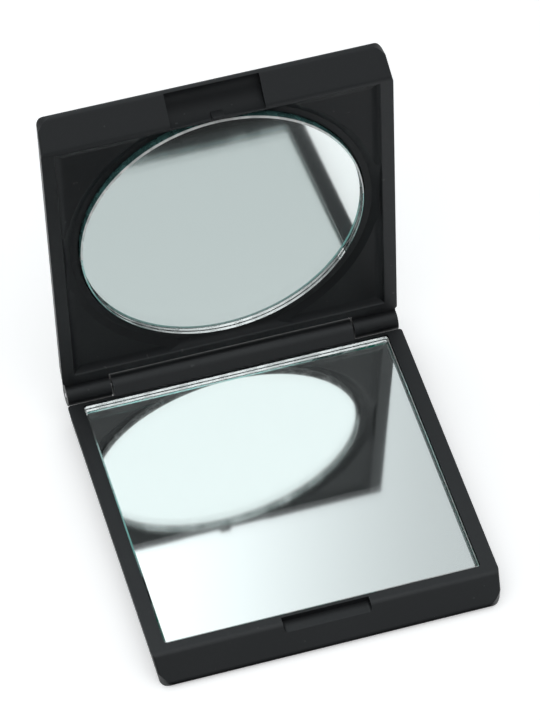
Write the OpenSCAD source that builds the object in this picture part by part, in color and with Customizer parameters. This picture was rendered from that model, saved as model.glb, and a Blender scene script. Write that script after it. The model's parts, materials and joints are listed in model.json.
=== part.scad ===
// Folding pocket mirror compact: two hinged halves, a square mirror below, a round mirror in the lid.
// Units are millimetres. +Z is up, the back of the case is +Y and the hinge runs along X.
// The origin is the middle of the underside, on the surface the closed base rests on.

/* [Case] */
// overall width of the case
case_w = 65; // [50:0.5:90]
// depth from the hinge line to the crease of the front bevel
case_d = 61; // [48:0.5:85]
// thickness of each half
half_t = 5.5; // [4.5:0.1:8]
// how far the base runs forward of the crease
base_nose = 5; // [3.4:0.1:6]
// how far the lid runs forward of the crease
lid_nose = 6.2; // [4:0.1:7]
// radius of the front corners seen from above
front_corner_r = 3.4; // [1.5:0.1:5]
// radius of the edge between each side wall and the front bevel
bevel_edge_r = 0.5; // [0.3:0.1:1.5]
// radius of the rear corners seen from above
rear_corner_r = 0.6; // [0.3:0.1:1.5]
// inward slope of each side wall over its height
side_draft = 0.7; // [0.2:0.1:1]
// radius of the edge round the outer face
outer_edge_r = 0.9; // [0.4:0.1:1.4]
// radius rolled onto the crease above the front bevel
crease_r = 1.3; // [0.5:0.1:2]
// open angle the lid is drawn at
open_angle = 96; // [0:1:110]

/* [Hinge] */
// radius of the hinge barrel
barrel_r = 2.1; // [1.7:0.05:2.4]
// length of each outer knuckle
knuckle_l = 8.5; // [6:0.5:12]
// gap between neighbouring knuckles
knuckle_gap = 0.35; // [0.3:0.05:0.6]
// inset of the barrel ends from the sides of the case
barrel_inset = 0.35; // [0.2:0.05:1]
// diameter of each hinge pin
pin_d = 1.2; // [0.8:0.1:1.6]
// length of each hinge pin held in the middle knuckle
pin_grip = 5.15; // [3:0.05:8]

/* [Square mirror] */
// width of rim left beside the square mirror
side_rim = 3; // [2.4:0.1:5]
// width of rim left in front of the square mirror
front_rim = 2.1; // [1.9:0.1:4]
// depth of the square mirror below the rim
square_sink = 0.35; // [0.2:0.05:0.8]

/* [Round mirror] */
// diameter of the round mirror, as a share of the shorter side of the lid pocket
round_share = 0.95; // [0.7:0.01:0.95]
// depth of the round mirror below the rim
round_sink = 0.95; // [0.9:0.05:1.4]
// depth of the lid pocket below the rim
pocket_depth = 0.9; // [0.5:0.05:1.1]

/* [Glass and tape] */
// thickness of the mirror glass
glass_t = 2; // [1.2:0.1:2.2]
// thickness of the mounting tape
tape_t = 0.3; // [0.2:0.05:0.4]

/* [Opening] */
// width of the notch in the front of the base
notch_w = 16.4; // [10:0.2:24]
// width of the finger scoop in the front of the lid
scoop_w = 17.6; // [11:0.2:26]
// radius of the finger scoop, as a share of the thickness of a half
scoop_share = 0.76; // [0.5:0.01:0.78]

/* [Hidden] */
$fn = 96;
half_w = case_w / 2;
parting_gap = 0.1;              // space left between the two rims when shut
rim_z = half_t;                 // hinge axis and parting plane
wall_gap = 0.5;                 // clearance between the barrel and each rear wall
rear_wall = barrel_r + wall_gap;// from the hinge axis to the rear walls
overlap = 0.02;                 // how far pieces of one solid run into each other
reach = case_w + case_d;        // longer than the case, for cutting blocks
cut_past = 1;                   // how far a cut starts outside the face it opens

// the two halves share the hinge axis, which sits behind the middle of the base
axis_y = (case_d + base_nose + rear_wall) / 2;

// glass and its wells
glass_gap = 0.12;               // clearance round the glass
rear_rim = 0.6;                 // rim left behind the square mirror
square_w = case_w - 2 * side_rim;
square_front = case_d - front_rim;
square_rear = rear_wall + rear_rim;
square_d = square_front - square_rear;
square_corner_r = 0.5;
glass_bevel = 0.3;              // seamed edge of the glass
round_gap = 0.4;                // clearance round the loose-fitting disc
round_edge = 0.8;               // glass edge to the front wall of its pocket
tape_w = 12;                    // strips under the square mirror
tape_inset = 4;

// the thickness left behind the round mirror is shared out: cover, hollow, floor of the well
spare_t = half_t - round_sink - glass_t - tape_t;
cover_t = min(1, spare_t * 0.44);
well_floor_t = spare_t * 0.36;

// outer cover panels
cover_rim = 0.6;                // flat frame left round each cover
cover_margin = side_draft + outer_edge_r + cover_rim;
cover_ledge = 1.3;              // ledge each cover is glued to
cover_gap = 0.05;
cover_corner_r = 2;
rib_t = 1;                      // ribs that back each cover

// lid pocket and mirror surround
pocket_side = 2;
pocket_top = 0.4;
pocket_rear = 1.6;
pocket_corner_r = 1.2;
pocket_cove = 2;                // fillet round the pocket floor
pocket_l = case_d - pocket_top - rear_wall - pocket_rear;
round_r = min(pocket_l, case_w - 2 * pocket_side) * round_share / 2;
round_s = case_d - pocket_top - round_edge - round_r;
round_tape_r = round_r * 0.7;
well_r = round_r + round_gap;
ring_w = 1.3;                   // flat ring round the well
slope_w = 1.3;                  // slope that leads down to the ring
ring_r = well_r + ring_w;
step_drop = 0.7;                // depth of the ring below the pocket floor
surround_inset = 0.4;           // the ring and its slope end this far inside the pocket's walls

// opening and latch
notch_back = front_rim * 2 / 3; // how far the notch reaches behind the crease
notch_drop = 1.3;
notch_corner_r = 0.6;
scoop_r = half_t * scoop_share;
scoop_back = 0.4;               // how far the scoop reaches behind the crease
latch_w = 2.2;
latch_drop = 0.3;               // how far the catch stands proud of the rim
latch_t = 0.7;
latch_rise = 1.5;
latch_bead_r = 0.15;

// hinge
pin_r = pin_d / 2;
pin_gap = 0.05;                 // running clearance, on the radius
barrel_end = half_w - barrel_inset;
knuckle_in = barrel_end - knuckle_l;
centre_l = 2 * (knuckle_in - knuckle_gap);
pin_l = knuckle_l + knuckle_gap + pin_grip;
pin_in = barrel_end - pin_l;
pin_chamfer = 0.15;
web_t = barrel_r - 0.05;

// ramp from the centre knuckle down to the rim of the square mirror, and its relief in the lid
ramp_land = 0.25;               // rim left in front of the ramp
ramp_foot = rear_wall + rear_rim - glass_gap - ramp_land;
ramp_angle = acos(barrel_r / ramp_foot) - 3;
ramp_top = barrel_r * [cos(ramp_angle), sin(ramp_angle)];
ramp_gap = 0.12;                // clearance in front of the ramp with the lid shut

// ---------- helpers ----------

function unit(v) = v / norm(v);
function corner_angle(a, v, b) = acos(min(1, max(-1, unit(a - v) * unit(b - v))));
function tangent_len(a, v, b, r) = r / tan(corner_angle(a, v, b) / 2);
function arc_centre(a, v, b, r) = v + unit(unit(a - v) + unit(b - v)) * r / sin(corner_angle(a, v, b) / 2);

// polygon whose corners are rolled to the given radii with true arcs (convex corners only)
module rounded_polygon(pts, radii) {
    n = len(pts);
    cut = [for (i = [0 : n - 1])
        let (a = pts[(i + n - 1) % n], v = pts[i], b = pts[(i + 1) % n],
             t = radii[i] > 0 ? tangent_len(a, v, b, radii[i]) : 0)
        each (t > 0 ? [v + unit(a - v) * t, v + unit(b - v) * t] : [v])];
    polygon(cut);
    for (i = [0 : n - 1]) {
        if (radii[i] > 0) {
            translate(arc_centre(pts[(i + n - 1) % n], pts[i], pts[(i + 1) % n], radii[i]))
                circle(r = radii[i]);
        }
    }
}

// rectangle with rounded corners, from corner lo to corner hi
module rounded_rect(lo, hi, r) {
    rounded_polygon([lo, [hi[0], lo[1]], hi, [lo[0], hi[1]]], [r, r, r, r]);
}

// draws a profile given as [distance forward of the hinge, height] right across the case
module across(width) {
    rotate([90, 0, -90])
        translate([0, 0, -width / 2])
            linear_extrude(width) children();
}

// everything on the case side of one front corner, whose edge leans with the bevel and the side wall
module front_corner(nose) {
    top = -parting_gap / 2;
    height = half_t + top;
    lean = atan(nose / height);
    wall = [side_draft * sin(lean), norm([height, side_draft * cos(lean)])];
    far = 2 * reach;
    translate([-half_w, -case_d, top])
        rotate([-lean, 0, 0])
            rotate([0, -atan(side_draft * cos(lean) / height), 0])
                linear_extrude(far, center = true)
                    rounded_polygon([[0, 0], [far, 0], [far, far], unit(wall) * far],
                                    [bevel_edge_r, 0, 0, 0]);
}

// the edge below the bevel: its two neighbours in the profile, with the corner itself in the middle
function bevel_corner(nose) = [[rear_wall, -half_t], [case_d + nose, -half_t], [case_d, -parting_gap / 2]];

// foremost point of the rolled edge, and where the flat of the outer face ends behind it
function foremost(nose) =
    let (c = bevel_corner(nose)) arc_centre(c[0], c[1], c[2], outer_edge_r)[0] + outer_edge_r;
function flat_front(nose) =
    let (c = bevel_corner(nose)) c[1][0] - tangent_len(c[0], c[1], c[2], outer_edge_r);

// one solid half of the case, outer face down, hinge axis at the origin
module half_block(nose) {
    top = -parting_gap / 2;
    front = foremost(nose);
    intersection() {
        across(2 * case_w)
            rounded_polygon([[rear_wall, top], [rear_wall, -half_t], [case_d + nose, -half_t], [case_d, top]],
                            [0, outer_edge_r, outer_edge_r, crease_r]);
        linear_extrude(3 * half_t, center = true)
            rounded_polygon([[-half_w, -rear_wall], [half_w, -rear_wall],
                             [half_w, -front], [-half_w, -front]],
                            [rear_corner_r, rear_corner_r, front_corner_r, front_corner_r]);
        rotate([90, 0, 0])
            linear_extrude(reach)
                rounded_polygon([[-half_w, top], [half_w, top],
                                 [half_w - side_draft, -half_t], [side_draft - half_w, -half_t]],
                                [0, 0, outer_edge_r, outer_edge_r]);
        front_corner(nose);
        mirror([1, 0, 0]) front_corner(nose);
    }
}

// opening for the cover panel and the hollow behind it, cut from the outer face
module cover_recess(nose, roof) {
    x = half_w - cover_margin;
    back = rear_wall + cover_margin;
    front = flat_front(nose) - cover_rim;
    translate([0, 0, -half_t - cut_past])
        linear_extrude(cut_past + cover_t)
            rounded_rect([-x, -front], [x, -back], cover_corner_r);
    translate([0, 0, -half_t - cut_past])
        linear_extrude(cut_past + half_t + roof)
            rounded_rect([cover_ledge - x, cover_ledge - case_d + cover_margin],
                         [x - cover_ledge, -back - cover_ledge], cover_corner_r);
}

module cover_panel(nose) {
    x = half_w - cover_margin - cover_gap;
    back = rear_wall + cover_margin + cover_gap;
    front = flat_front(nose) - cover_rim - cover_gap;
    translate([0, 0, -half_t])
        linear_extrude(cover_t)
            rounded_rect([-x, -front], [x, -back], cover_corner_r - cover_gap);
}

// ribs that back the cover panel, standing in the hollow
module cover_ribs(roof) {
    x = half_w - cover_margin - cover_ledge + overlap;
    rib_z = -half_t + cover_t + cover_gap;
    for (f = [1 / 3, 2 / 3]) {
        translate([-x, -case_d * f - rib_t / 2, rib_z])
            cube([2 * x, rib_t, roof - rib_z + overlap]);
    }
}

// barrel length between two x positions
module barrel(x0, x1, r) {
    translate([x0, 0, 0])
        rotate([0, 90, 0])
            cylinder(r = r, h = x1 - x0);
}

// material joining a knuckle to the rear wall of a half, below the parting plane
module knuckle_web(x0, x1) {
    translate([x0, -rear_wall - rear_rim / 2, -web_t])
        cube([x1 - x0, rear_wall + rear_rim / 2, web_t - parting_gap / 2]);
}

// slope in front of the centre knuckle, running into its barrel and its web
module knuckle_ramp() {
    across(centre_l)
        polygon([[0, -web_t / 2], [ramp_foot, -web_t / 2], [ramp_foot, -parting_gap / 2], ramp_top]);
}

// the same slope cut from the inner face of the lid, one clearance further forward
module ramp_relief() {
    foot = ramp_foot + ramp_gap;
    rise = (ramp_top[1] + parting_gap / 2) / (ramp_foot - ramp_top[0]);
    across(centre_l + 2 * knuckle_gap)
        polygon([[0, -foot * rise], [foot, 0], [foot, cut_past], [0, cut_past]]);
}

// ---------- base ----------

square_roof = -square_sink - glass_t - tape_t - well_floor_t;

module at_axis() {
    translate([0, axis_y, rim_z]) children();
}

module square_outline(grow) {
    rounded_rect([-square_w / 2 - grow, -square_front - grow], [square_w / 2 + grow, -square_rear + grow],
                 square_corner_r + grow);
}

module base_frame() {
    color("#26282a")
        at_axis()
            difference() {
                union() {
                    difference() {
                        half_block(base_nose);
                        // well for the mirror
                        translate([0, 0, square_roof + well_floor_t])
                            linear_extrude(half_t)
                                square_outline(glass_gap);
                        cover_recess(base_nose, square_roof);
                        // notch for opening
                        translate([0, -case_d + notch_back, -notch_drop])
                            rotate([90, 0, 0])
                                linear_extrude(reach)
                                    rounded_rect([-notch_w / 2, 0], [notch_w / 2, half_t], notch_corner_r);
                    }
                    cover_ribs(square_roof);
                    barrel(-centre_l / 2, centre_l / 2, barrel_r);
                    knuckle_web(-centre_l / 2, centre_l / 2);
                    knuckle_ramp();
                }
                for (s = [-1, 1]) {
                    barrel(s > 0 ? pin_in : -centre_l, s > 0 ? centre_l : -pin_in, pin_r);
                }
            }
}

module base_cover() {
    color("#232527")
        at_axis() cover_panel(base_nose);
}

module square_mirror() {
    color("#c9d6d8")
        at_axis()
            translate([0, 0, -square_sink - glass_t])
                linear_extrude(glass_t) square_outline(0);
}

module square_mirror_tape() {
    color("#e8e4da")
        at_axis()
            for (s = [-1, 1]) {
                translate([s * (square_w / 2 - tape_inset - tape_w / 2), -square_front + tape_inset,
                           -square_sink - glass_t - tape_t])
                    translate([-tape_w / 2, 0, 0])
                        cube([tape_w, square_d - 2 * tape_inset, tape_t]);
            }
}

// ---------- lid ----------

round_roof = -round_sink - glass_t - tape_t - well_floor_t;

// places a half drawn outer face down as the lid, swung open about the hinge
module as_lid() {
    at_axis()
        rotate([-open_angle, 0, 0])
            mirror([0, 0, 1]) children();
}

// shallow pocket in the inner face of the lid, its floor filleted into its walls
module lid_pocket(inset = 0, drop = 0) {
    x = half_w - pocket_side - inset;
    rear = rear_wall + pocket_rear + inset;
    front = case_d - pocket_top - inset;
    floor_z = -pocket_depth - drop;
    coves = [0, 0, pocket_cove, pocket_cove];
    intersection() {
        linear_extrude(2 * half_t, center = true)
            rounded_rect([-x, -front], [x, -rear], pocket_corner_r);
        across(2 * case_w)
            rounded_polygon([[rear, half_t], [front, half_t], [front, floor_z], [rear, floor_z]], coves);
        rotate([90, 0, 0])
            linear_extrude(reach)
                rounded_polygon([[-x, half_t], [x, half_t], [x, floor_z], [-x, floor_z]], coves);
    }
}

// surround of the round mirror: a slope down to a flat ring, and the well
module mirror_surround() {
    spread = slope_w / step_drop;
    below = cut_past;
    above = pocket_depth + step_drop + cut_past;
    intersection() {
        lid_pocket(surround_inset, step_drop);
        translate([0, -round_s, -pocket_depth - step_drop - below])
            cylinder(r1 = ring_r - below * spread, r2 = ring_r + above * spread, h = below + above);
    }
    translate([0, -round_s, round_roof + well_floor_t])
        cylinder(r = well_r, h = half_t);
}

module lid_frame() {
    color("#26282a")
        as_lid()
            difference() {
                union() {
                    difference() {
                        half_block(lid_nose);
                        lid_pocket();
                        mirror_surround();
                        ramp_relief();
                        cover_recess(lid_nose, round_roof);
                        // finger scoop
                        translate([0, -case_d + scoop_back - scoop_r, 0])
                            barrel(-scoop_w / 2, scoop_w / 2, scoop_r);
                    }
                    cover_ribs(round_roof);
                    for (s = [0, 1]) {
                        mirror([s, 0, 0]) {
                            barrel(knuckle_in, barrel_end, barrel_r);
                            knuckle_web(knuckle_in, barrel_end);
                        }
                    }
                    latch();
                }
                for (s = [0, 1]) {
                    mirror([s, 0, 0])
                        barrel(knuckle_in - overlap, barrel_end + overlap, pin_r + pin_gap);
                }
            }
}

// small catch on the back wall of the scoop, with a rounded tip that drops into the notch of the base
module latch() {
    back = scoop_back - case_d + overlap;
    tip = latch_drop - latch_bead_r;
    translate([-latch_w / 2, back - latch_t, -latch_rise])
        cube([latch_w, latch_t, latch_rise + tip]);
    for (y = [back - latch_bead_r, back - latch_t + latch_bead_r]) {
        translate([-latch_w / 2, y, tip])
            rotate([0, 90, 0])
                cylinder(r = latch_bead_r, h = latch_w);
    }
    translate([-latch_w / 2, back - latch_t + latch_bead_r, tip - overlap])
        cube([latch_w, latch_t - 2 * latch_bead_r, latch_bead_r + overlap]);
}

module lid_cover() {
    color("#232527")
        as_lid() cover_panel(lid_nose);
}

module round_mirror() {
    color("#c9d6d8")
        as_lid()
            translate([0, -round_s, -round_sink - glass_t])
                rotate_extrude()
                    polygon([[0, 0], [round_r, 0], [round_r, glass_t - glass_bevel],
                             [round_r - glass_bevel, glass_t], [0, glass_t]]);
}

module round_mirror_tape() {
    color("#e8e4da")
        as_lid()
            translate([0, -round_s, -round_sink - glass_t - tape_t])
                cylinder(r = round_tape_r, h = tape_t);
}

// ---------- hinge pins ----------

module hinge_pin() {
    at_axis()
        translate([pin_in, 0, 0])
            rotate([0, 90, 0])
                rotate_extrude()
                    polygon([[0, 0], [pin_r - pin_chamfer, 0], [pin_r, pin_chamfer],
                             [pin_r, pin_l - pin_chamfer], [pin_r - pin_chamfer, pin_l], [0, pin_l]]);
}

module hinge_pin_left() {
    color("#b9bcc0")
        mirror([1, 0, 0]) hinge_pin();
}

module hinge_pin_right() {
    color("#b9bcc0") hinge_pin();
}

base_frame();
base_cover();
square_mirror();
square_mirror_tape();
lid_frame();
lid_cover();
round_mirror();
round_mirror_tape();
hinge_pin_left();
hinge_pin_right();
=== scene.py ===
import json
from math import cos, pi, radians, sin

import bmesh
import bpy
from mathutils import Matrix, Vector


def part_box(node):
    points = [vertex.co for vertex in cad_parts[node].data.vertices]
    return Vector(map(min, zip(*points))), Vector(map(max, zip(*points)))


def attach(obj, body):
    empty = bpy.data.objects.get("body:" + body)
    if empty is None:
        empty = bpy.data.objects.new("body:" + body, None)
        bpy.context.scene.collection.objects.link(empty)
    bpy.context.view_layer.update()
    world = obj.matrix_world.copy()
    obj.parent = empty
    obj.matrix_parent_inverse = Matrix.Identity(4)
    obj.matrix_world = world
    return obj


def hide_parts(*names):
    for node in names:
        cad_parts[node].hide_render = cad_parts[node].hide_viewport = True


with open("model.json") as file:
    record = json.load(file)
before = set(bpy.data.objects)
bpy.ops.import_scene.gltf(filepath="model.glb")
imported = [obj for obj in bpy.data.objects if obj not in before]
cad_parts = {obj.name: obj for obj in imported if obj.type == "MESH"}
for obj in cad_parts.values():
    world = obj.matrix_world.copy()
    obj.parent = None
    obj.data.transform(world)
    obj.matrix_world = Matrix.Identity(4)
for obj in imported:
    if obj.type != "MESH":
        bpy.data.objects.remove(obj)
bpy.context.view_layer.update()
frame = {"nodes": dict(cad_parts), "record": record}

MM = 0.001
RECORD = frame["record"]
NODES = frame["nodes"]
HINGE = Vector(RECORD["behaviour"]["joints"][0]["pos_m"])

# the case's own sizes, from the frame
SQ_LO, SQ_HI = [Vector(c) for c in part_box("square_mirror")]
BASE_LO, BASE_HI = [Vector(c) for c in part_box("base_frame")]
CASE_W = BASE_HI.x - BASE_LO.x
OPEN = radians(96)          # angle between the two halves at rest
FRONT, SEAM, SILVER, SIDE, CHIPPED_HIGHLIT = range(5)   # material slots of a mirror plate
SQUARE_CORNER = 0.5 * MM    # plan radius of the square mirror's corners
LEAST_CORNER = 0.05 * MM    # and the least of it that a seam leaves
SQUARE_SEAM = 0.25 * MM     # width of the ground seam round each mirror
ROUND_SEAM = 0.3 * MM
CHIPPED_HIGHLIT_REACH = 1 * MM      # the square mirror's edge is clear, chipped and painted with a white highlight this close to its rear side
CHIPPED_HIGHLIT_BELOW = 0.02        # and the round one's below its middle plus this share of its radius
SILVER_LIFT = 0.04 * MM     # the silvered face clears the foam tape by this much
DISC_LEAN = radians(0.8)    # the round glass isn't quite parallel to the lid: its top edge stands proud
POCKET_TOP = 60.65 * MM     # top of the lid's pocket, up from the hinge
POCKET_EDGE = 0.25 * MM     # the painted shade of the recesses starts this deep in the lid
POCKET_FLOOR = 2.0 * MM     # and ends below the ring round the mirror
SCOOP_HALF = 8.85 * MM      # half the width of the finger scoop
SCOOP_REACH = 3 * MM        # the scoop's faces start this far below the top of the pocket
SOFTBOX_TOWARDS = Vector((0.174, 0.593, 0.786))     # direction of the rear softbox from the base
SOFTBOX_AWAY = 0.35         # its distance
SOFTBOX_SIZE = (0.5, 0.3)   # width and height
SOFTBOX_LEFT, SOFTBOX_RIGHT = 1.38, 0.64    # strength of its two sides
SOFTBOX_FADE = 0.055        # the strength changes within this distance of its middle
FLAG_WIDTH, FLAG_DEPTH = 0.20, 0.14         # black card in front of the base, standing in for the shade there
FLAG_UP = 0.3 * MM          # its height over the floor
FLOOR_HALF = 3              # the floor reaches this far each way
FLOOR_GLOW = 0.34           # keeps the floor white where the case shades it
CAMERA_AZIMUTH, CAMERA_ELEVATION = radians(-16.38), radians(51.77)
CAMERA_ROLL = -0.0037       # radians
CAMERA_AIM = Vector((0.0416, -0.25, 0.2723))    # from the hinge, in case widths
CAMERA_AWAY = 12.2072       # in case widths
SENSOR = 36                 # mm
FOCAL_SHARE = 6.06083       # lens over sensor


# ---------- node helpers ----------

class Shader:
    """A material being wired up, with the Principled shader at its end."""

    def __init__(self, name):
        self.mat = bpy.data.materials.new(name)
        self.mat.use_nodes = True
        self.tree = self.mat.node_tree
        self.bsdf = next(n for n in self.tree.nodes if n.type == "BSDF_PRINCIPLED")
        self.out = next(n for n in self.tree.nodes if n.type == "OUTPUT_MATERIAL")
        self.coord = self.add("ShaderNodeTexCoord").outputs["Object"]

    def add(self, kind, **props):
        node = self.tree.nodes.new(kind)
        for key, value in props.items():
            setattr(node, key, value)
        return node

    def link(self, a, b):
        self.tree.links.new(a, b)

    def put(self, socket, value):
        if isinstance(value, bpy.types.NodeSocket):
            self.link(value, socket)
        else:
            socket.default_value = value

    def noise(self, scale, detail=2.0, rough=0.5, stretch=None):
        node = self.add("ShaderNodeTexNoise")
        node.inputs["Scale"].default_value = scale
        node.inputs["Detail"].default_value = detail
        node.inputs["Roughness"].default_value = rough
        if stretch:
            mapping = self.add("ShaderNodeMapping")
            mapping.inputs["Scale"].default_value = stretch
            self.link(self.coord, mapping.inputs["Vector"])
            self.link(mapping.outputs[0], node.inputs["Vector"])
        else:
            self.link(self.coord, node.inputs["Vector"])
        return node.outputs["Fac"]

    def ramp(self, value, lo, hi, out_lo=0.0, out_hi=1.0):
        node = self.add("ShaderNodeMapRange", interpolation_type="SMOOTHSTEP")
        self.link(value, node.inputs["Value"])
        for key, number in (("From Min", lo), ("From Max", hi), ("To Min", out_lo), ("To Max", out_hi)):
            node.inputs[key].default_value = number
        return node.outputs["Result"]

    def math(self, op, a, b):
        node = self.add("ShaderNodeMath", operation=op)
        self.put(node.inputs[0], a)
        self.put(node.inputs[1], b)
        return node.outputs[0]

    def mix(self, fac, a, b):
        node = self.add("ShaderNodeMix", data_type="RGBA")
        self.put(node.inputs["Factor"], fac)
        self.put(node.inputs["A"], a if isinstance(a, bpy.types.NodeSocket) else (*a, 1))
        self.put(node.inputs["B"], b if isinstance(b, bpy.types.NodeSocket) else (*b, 1))
        return node.outputs["Result"]

    def bump(self, height, strength, distance, normal=None):
        node = self.add("ShaderNodeBump")
        node.inputs["Strength"].default_value = strength
        node.inputs["Distance"].default_value = distance
        self.link(height, node.inputs["Height"])
        if normal is not None:
            self.link(normal, node.inputs["Normal"])
        return node.outputs["Normal"]

    def edge_mask(self, radius, lo, hi):
        """1 along edges and inner corners, within radius of them, and 0 on the open faces."""
        soft = self.add("ShaderNodeBevel", samples=6)
        soft.inputs["Radius"].default_value = radius
        flat = self.add("ShaderNodeNewGeometry")
        dot = self.add("ShaderNodeVectorMath", operation="DOT_PRODUCT")
        self.link(soft.outputs["Normal"], dot.inputs[0])
        self.link(flat.outputs["Normal"], dot.inputs[1])
        return self.ramp(self.math("SUBTRACT", 1.0, dot.outputs["Value"]), lo, hi)

    def set(self, **values):
        for key, value in values.items():
            self.put(self.bsdf.inputs[key.replace("_", " ")], value)


# ---------- materials ----------

def case_plastic(name, tone, sheen):
    """Soft matte black moulding: fine eroded grain, a faint cloudiness, and edges and inner corners
    painted lighter and made glossier, partly as polish from handling and partly as a painted highlight.
    """
    s = Shader(name)
    grain = s.noise(5200, 2.0, 0.6)
    coarse = s.noise(1700, 3.0, 0.55)
    cloud = s.noise(60, 4.0, 0.6)
    dust = s.ramp(s.noise(900, 1.0, 0.3), 0.76, 0.82)
    worn_and_highlit = s.edge_mask(0.22 * MM, 0.03, 0.22)
    worn_and_highlit = s.math("MULTIPLY", worn_and_highlit, s.ramp(s.noise(420, 3.0, 0.6), 0.38, 0.62, 0.35, 1.0))
    colour = s.mix(s.ramp(cloud, 0.35, 0.65), [c * 0.85 for c in tone], [c * 1.15 for c in tone])
    # edges and inner corners take a lighter colour: a painted highlight as well as wear
    colour = s.mix(s.math("MULTIPLY", worn_and_highlit, 0.5), colour, [c * 3 for c in tone])
    colour = s.mix(s.math("MULTIPLY", dust, 0.2), colour, (0.10, 0.10, 0.10))
    rough = s.math("ADD", s.ramp(cloud, 0.3, 0.7, 0.43, 0.50), s.ramp(coarse, 0.3, 0.7, -0.02, 0.03))
    rough = s.math("SUBTRACT", rough, s.math("MULTIPLY", worn_and_highlit, 0.08))
    s.set(Base_Color=colour, Roughness=rough, IOR=1.49)
    s.bsdf.inputs["Specular Tint"].default_value = (0.94, 0.98, 1.0, 1)
    s.bsdf.inputs["Specular IOR Level"].default_value = sheen
    normal = s.bump(coarse, 0.25, 0.00002)
    s.set(Normal=s.bump(grain, 0.35, 0.00001, normal))
    return s.mat


def clear_glass(name, rough):
    """Float glass, faintly green in its depth."""
    s = Shader(name)
    s.set(Base_Color=(1, 1, 1, 1), Roughness=rough, IOR=1.52)
    s.bsdf.inputs["Transmission Weight"].default_value = 1.0
    absorb = s.add("ShaderNodeVolumeAbsorption")
    absorb.inputs["Color"].default_value = (0.15, 0.75, 0.70, 1)
    absorb.inputs["Density"].default_value = 20
    s.link(absorb.outputs[0], s.out.inputs["Volume"])
    return s


def front_glass():
    return clear_glass("mirror_front_glass", 0.0).mat


def frosted(name, tint, milk_lo, milk_hi, chips=0.0):
    """Ground glass: clear glass under a broken milky layer, with fine grinding marks.
    milk_lo and milk_hi bound how much the layer covers, and chips is how much of it is lost in patches."""
    s = clear_glass(name, 0.2)
    grit = s.noise(2600, 3.0, 0.6)
    bands = s.noise(500, 2.0, 0.5)
    s.set(Roughness=s.ramp(bands, 0.35, 0.65, 0.05, 0.24))
    s.set(Normal=s.bump(grit, 0.25, 0.00002))
    milk = s.add("ShaderNodeBsdfDiffuse")
    s.put(milk.inputs["Color"], s.mix(grit, [c * 0.8 for c in tint], tint))
    cover = s.ramp(bands, 0.35, 0.65, milk_lo, milk_hi)
    if chips:
        cover = s.math("MULTIPLY", cover, s.ramp(s.noise(330, 3.0, 0.7), 0.40, 0.50, 1 - chips, 1.0))
    blend = s.add("ShaderNodeMixShader")
    s.put(blend.inputs["Fac"], cover)
    s.link(s.bsdf.outputs[0], blend.inputs[1])
    s.link(milk.outputs[0], blend.inputs[2])
    s.link(blend.outputs[0], s.out.inputs["Surface"])
    return s.mat


def silver_coat():
    s = Shader("mirror_silver")
    s.set(Base_Color=(0.93, 0.935, 0.93, 1), Metallic=1.0, Roughness=0.04)
    return s.mat


def pin_steel():
    s = Shader("pin_steel")
    draw = s.noise(900, 2.0, 0.5, stretch=(0.05, 1, 1))
    s.set(Base_Color=(0.60, 0.60, 0.61, 1), Metallic=1.0, Roughness=s.ramp(draw, 0.3, 0.7, 0.22, 0.38))
    s.set(Normal=s.bump(draw, 0.2, 0.00001))
    return s.mat


def tape_foam():
    s = Shader("tape_foam")
    cells = s.noise(3000, 2.0, 0.5)
    s.set(Base_Color=s.mix(cells, (0.74, 0.73, 0.69), (0.86, 0.85, 0.81)), Roughness=0.85)
    s.set(Normal=s.bump(cells, 0.4, 0.00003))
    return s.mat


# ---------- mirrors ----------

def mesh_object(name, bm, materials):
    mesh = bpy.data.meshes.new(name)
    bmesh.ops.recalc_face_normals(bm, faces=bm.faces)
    bm.to_mesh(mesh)
    bm.free()
    for material in materials:
        mesh.materials.append(material)
    obj = bpy.data.objects.new(name, mesh)
    bpy.context.scene.collection.objects.link(obj)
    return obj


def glass_slab(name, outline, thick, seam, place, materials, edge_slot):
    """A mirror plate: clear top, ground seam and sides, silvered underside.
    outline(grow) gives the plan points; the plate stands on z = 0 and is then placed.
    materials are in the order FRONT, SEAM, SILVER, SIDE, CHIPPED_HIGHLIT.
    edge_slot(point, on_seam) picks the slot of the edge there."""
    rings = [(SILVER_LIFT, -seam * 0.5), (seam * 0.5, 0.0), (thick - seam, 0.0), (thick, -seam)]
    bm = bmesh.new()
    loops = [[bm.verts.new((*p, z)) for p in outline(grow)] for z, grow in rings]
    count = len(loops[0])
    for low, high in zip(loops, loops[1:]):
        for i in range(count):
            j = (i + 1) % count
            face = bm.faces.new((low[i], low[j], high[j], high[i]))
            face.material_index = edge_slot(low[i].co, high is loops[-1])
    bottom = bm.faces.new(loops[0][::-1])
    bottom.material_index = SILVER
    top = bm.faces.new(loops[-1])
    top.material_index = FRONT
    bm.transform(place)
    return mesh_object(name, bm, materials)


def rounded_square(half_x, half_y, radius, steps=6):
    def outline(grow):
        points = []
        r = max(radius + grow, LEAST_CORNER)
        for k, (sx, sy) in enumerate(((1, 1), (-1, 1), (-1, -1), (1, -1))):
            for i in range(steps + 1):
                a = (k + i / steps) * pi / 2
                cx, cy = sx * (half_x - radius), sy * (half_y - radius)
                points.append((cx + r * cos(a), cy + r * sin(a)))
        return points
    return outline


def circle(radius, steps=256):
    def outline(grow):
        r = radius + grow
        return [(r * cos(2 * pi * i / steps), r * sin(2 * pi * i / steps)) for i in range(steps)]
    return outline


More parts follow.
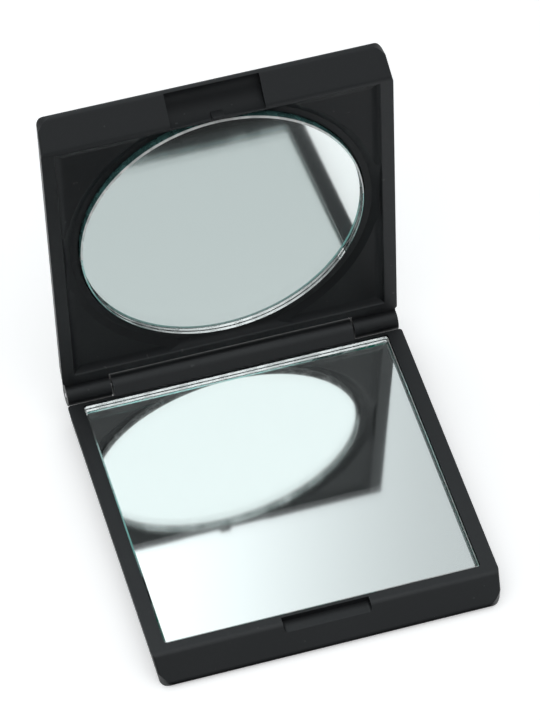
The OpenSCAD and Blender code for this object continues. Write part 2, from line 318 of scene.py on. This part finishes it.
def build_mirrors():
    seam = frosted("mirror_seam", (0.80, 0.81, 0.80), 0.65, 0.95)
    side = frosted("mirror_side", (0.10, 0.24, 0.23), 0.45, 0.75)
    # a whiter, clearer copy of the ground edge where light catches the glass: real chips plus a painted
    # highlight
    chipped_highlit = frosted("mirror_side_chipped_highlit", (0.95, 0.96, 0.96), 0.0, 0.30, 0.8)
    looks = [front_glass(), seam, silver_coat(), side, chipped_highlit]
    half = (SQ_HI - SQ_LO) / 2
    centre = (SQ_HI + SQ_LO) / 2

    def square_edge(point, on_seam):
        # the rear edge takes the white copy: chips plus a painted highlight
        if point.y > half.y - CHIPPED_HIGHLIT_REACH:
            return CHIPPED_HIGHLIT
        return SEAM if on_seam else SIDE

    outline = rounded_square(half.x, half.y, SQUARE_CORNER)
    place = Matrix.Translation((centre.x, centre.y, SQ_LO.z))
    thick = SQ_HI.z - SQ_LO.z
    square = glass_slab("square_mirror_plate", outline, thick, SQUARE_SEAM, place, looks, square_edge)
    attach(square, "base")
    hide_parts("square_mirror")

    # the disc is laid flat on the lid at rest, its clear face forward
    lo, hi = [Vector(c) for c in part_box("round_mirror")]
    radius = (hi.x - lo.x) / 2
    size_y = hi.y - lo.y
    back = OPEN - pi / 2
    thick = (size_y - 2 * radius * sin(back)) / cos(back)
    middle = (lo + hi) / 2
    turn = Matrix.Rotation(-OPEN, 4, "X") @ Matrix.Rotation(pi, 4, "X")
    normal = (turn @ Vector((0, 0, 1, 0))).to_3d()
    # and leans out about the lowest edge of its silvered face
    down = (turn @ Vector((0, 1, 0, 0))).to_3d()
    down = down if down.z < 0 else -down
    pivot = middle + down * radius - normal * thick / 2
    lean_out = Matrix.Translation(pivot) @ Matrix.Rotation(DISC_LEAN, 4, "X") @ Matrix.Translation(-pivot)
    place = lean_out @ Matrix.Translation(middle - normal * thick / 2) @ turn

    def round_edge(point, on_seam):
        # the lower edge takes the white copy: chips plus a painted highlight
        if (turn @ point.to_4d()).z < CHIPPED_HIGHLIT_BELOW * radius:
            return CHIPPED_HIGHLIT
        return SEAM if on_seam else SIDE

    disc = glass_slab("round_mirror_plate", circle(radius), thick, ROUND_SEAM, place, looks, round_edge)
    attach(disc, "lid")
    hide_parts("round_mirror")


# ---------- case ----------

def finish_case():
    base_black = case_plastic("case_plastic_base", (0.0050, 0.0055, 0.0064), 0.54)
    # the lid's copy of the plastic is darker and less glossy than the base's: painted shade on the
    # standing lid
    lid_black_painted_shade = case_plastic("case_plastic_lid_painted_shade", (0.0046, 0.0051, 0.0060), 0.43)
    cover_black = case_plastic("cover_plastic", (0.0046, 0.0050, 0.0056), 0.5)
    foam, steel = tape_foam(), pin_steel()
    looks = {
        "base_frame": base_black, "lid_frame": lid_black_painted_shade,
        "base_cover": cover_black, "lid_cover": cover_black,
        "square_mirror_tape": foam, "round_mirror_tape": foam,
        "hinge_pin_left": steel, "hinge_pin_right": steel,
    }
    for name, material in looks.items():
        obj = NODES[name]
        obj.data.materials.clear()
        obj.data.materials.append(material)
    # darker, less glossy copy of the plastic for the lid's recesses: painted shade
    recess_painted_shade_black = case_plastic("case_plastic_recess_painted_shade", (0.0040, 0.0045, 0.0053), 0.27)
    paint_recess_shade(NODES["lid_frame"], recess_painted_shade_black)


def paint_recess_shade(lid, material):
    """Gives the pocket and the finger scoop of the lid a darker, duller copy of the plastic: painted shade
    in the recesses.
    """
    lid.data.materials.append(material)
    along = Vector((0, -cos(OPEN), sin(OPEN)))
    into = Vector((0, sin(OPEN), cos(OPEN)))
    for face in lid.data.polygons:
        centre = face.center - HINGE
        up, deep = centre.dot(along), centre.dot(into)
        narrow = all(abs(lid.data.vertices[v].co.x) < SCOOP_HALF for v in face.vertices)
        in_pocket = up < POCKET_TOP and POCKET_EDGE < deep < POCKET_FLOOR
        in_scoop = narrow and up > POCKET_TOP - SCOOP_REACH and deep > POCKET_EDGE
        faces_out = face.normal.dot(into) < -0.05
        if faces_out and (in_pocket or in_scoop):
            face.material_index = 1


# ---------- set ----------

def build_floor():
    bm = bmesh.new()
    bmesh.ops.create_grid(bm, x_segments=1, y_segments=1, size=FLOOR_HALF)
    s = Shader("floor_white")
    s.set(Base_Color=(0.90, 0.90, 0.90, 1), Roughness=0.9)
    s.bsdf.inputs["Specular IOR Level"].default_value = 0.1
    s.bsdf.inputs["Emission Color"].default_value = (1, 1, 1, 1)
    s.bsdf.inputs["Emission Strength"].default_value = FLOOR_GLOW
    floor = mesh_object("floor", bm, [s.mat])


def build_world():
    """A white studio tent, brightest overhead and dimmer low down."""
    world = bpy.data.worlds.new("studio")
    bpy.context.scene.world = world
    world.use_nodes = True
    tree = world.node_tree
    tree.nodes.clear()
    out = tree.nodes.new("ShaderNodeOutputWorld")
    back = tree.nodes.new("ShaderNodeBackground")
    coord = tree.nodes.new("ShaderNodeTexCoord")
    split = tree.nodes.new("ShaderNodeSeparateXYZ")
    height = tree.nodes.new("ShaderNodeValToRGB")
    stops = [(0.0, 0.16), (0.25, 0.36), (0.65, 0.70), (0.89, 1.15), (1.0, 1.35)]
    ramp = height.color_ramp
    while len(ramp.elements) < len(stops):
        ramp.elements.new(0.5)
    for element, (place, value) in zip(ramp.elements, stops):
        element.position = place
        element.color = (value * 0.98, value, value * 1.01, 1)
    tree.links.new(coord.outputs["Generated"], split.inputs[0])
    tree.links.new(split.outputs["Z"], height.inputs["Fac"])
    tree.links.new(height.outputs[0], back.inputs["Color"])
    tree.links.new(back.outputs[0], out.inputs[0])


def stage_card(name, centre, facing, size, material):
    """A flat card that lights or shades the set but isn't seen directly."""
    bm = bmesh.new()
    bmesh.ops.create_grid(bm, x_segments=1, y_segments=1, size=0.5)
    bm.transform(Matrix.Diagonal((*size, 1, 1)))
    card = mesh_object(name, bm, [material])
    card.location = centre
    card.rotation_euler = Vector(facing).to_track_quat("Z", "Y").to_euler()
    card.visible_camera = False
    return card


def build_rear_softbox():
    """A softbox above and behind the lid, brighter on the left as seen from the front."""
    s = Shader("softbox_cloth")
    split = s.add("ShaderNodeSeparateXYZ")
    s.link(s.coord, split.inputs[0])
    glow = s.ramp(split.outputs["X"], -SOFTBOX_FADE, SOFTBOX_FADE, SOFTBOX_LEFT, SOFTBOX_RIGHT)
    light = s.add("ShaderNodeEmission")
    light.inputs["Color"].default_value = (0.94, 0.985, 1.0, 1)
    s.link(glow, light.inputs["Strength"])
    s.link(light.outputs[0], s.out.inputs["Surface"])
    stage_card("softbox_rear", SOFTBOX_TOWARDS * SOFTBOX_AWAY, -SOFTBOX_TOWARDS, SOFTBOX_SIZE, s.mat)


def build_front_shade_flag():
    """A black card just above the floor in front of the base, seen only in reflections: painted shade in
    the mirrors and the plastic's sheen.
    """
    s = Shader("flag_cloth_painted_shade")
    s.set(Base_Color=(0.01, 0.01, 0.01, 1), Roughness=1.0)
    centre = (BASE_HI.x - FLAG_WIDTH / 2, BASE_LO.y - FLAG_DEPTH / 2, FLAG_UP)
    # dark card seen only by reflections: painted shade in front of the case
    flag = stage_card("flag_front_painted_shade", centre, (0, 0, 1), (FLAG_WIDTH, FLAG_DEPTH), s.mat)
    for ray in ("diffuse", "volume_scatter", "shadow"):
        setattr(flag, "visible_" + ray, False)


def build_camera():
    target = HINGE + CAMERA_AIM * CASE_W
    level = cos(CAMERA_ELEVATION)
    away = Vector((sin(CAMERA_AZIMUTH) * level, -cos(CAMERA_AZIMUTH) * level, sin(CAMERA_ELEVATION)))
    camera = bpy.data.objects.new("camera", bpy.data.cameras.new("camera"))
    bpy.context.scene.collection.objects.link(camera)
    camera.location = target + away * CAMERA_AWAY * CASE_W
    turn = away.to_track_quat("Z", "Y").to_matrix().to_4x4() @ Matrix.Rotation(CAMERA_ROLL, 4, "Z")
    camera.rotation_euler = turn.to_euler()
    camera.data.sensor_width = SENSOR
    camera.data.lens = SENSOR * FOCAL_SHARE
    camera.data.clip_start = 0.01
    bpy.context.scene.camera = camera


finish_case()
build_mirrors()
build_floor()
build_world()
build_rear_softbox()
build_front_shade_flag()
build_camera()
bpy.context.scene.view_settings.view_transform = "Standard"
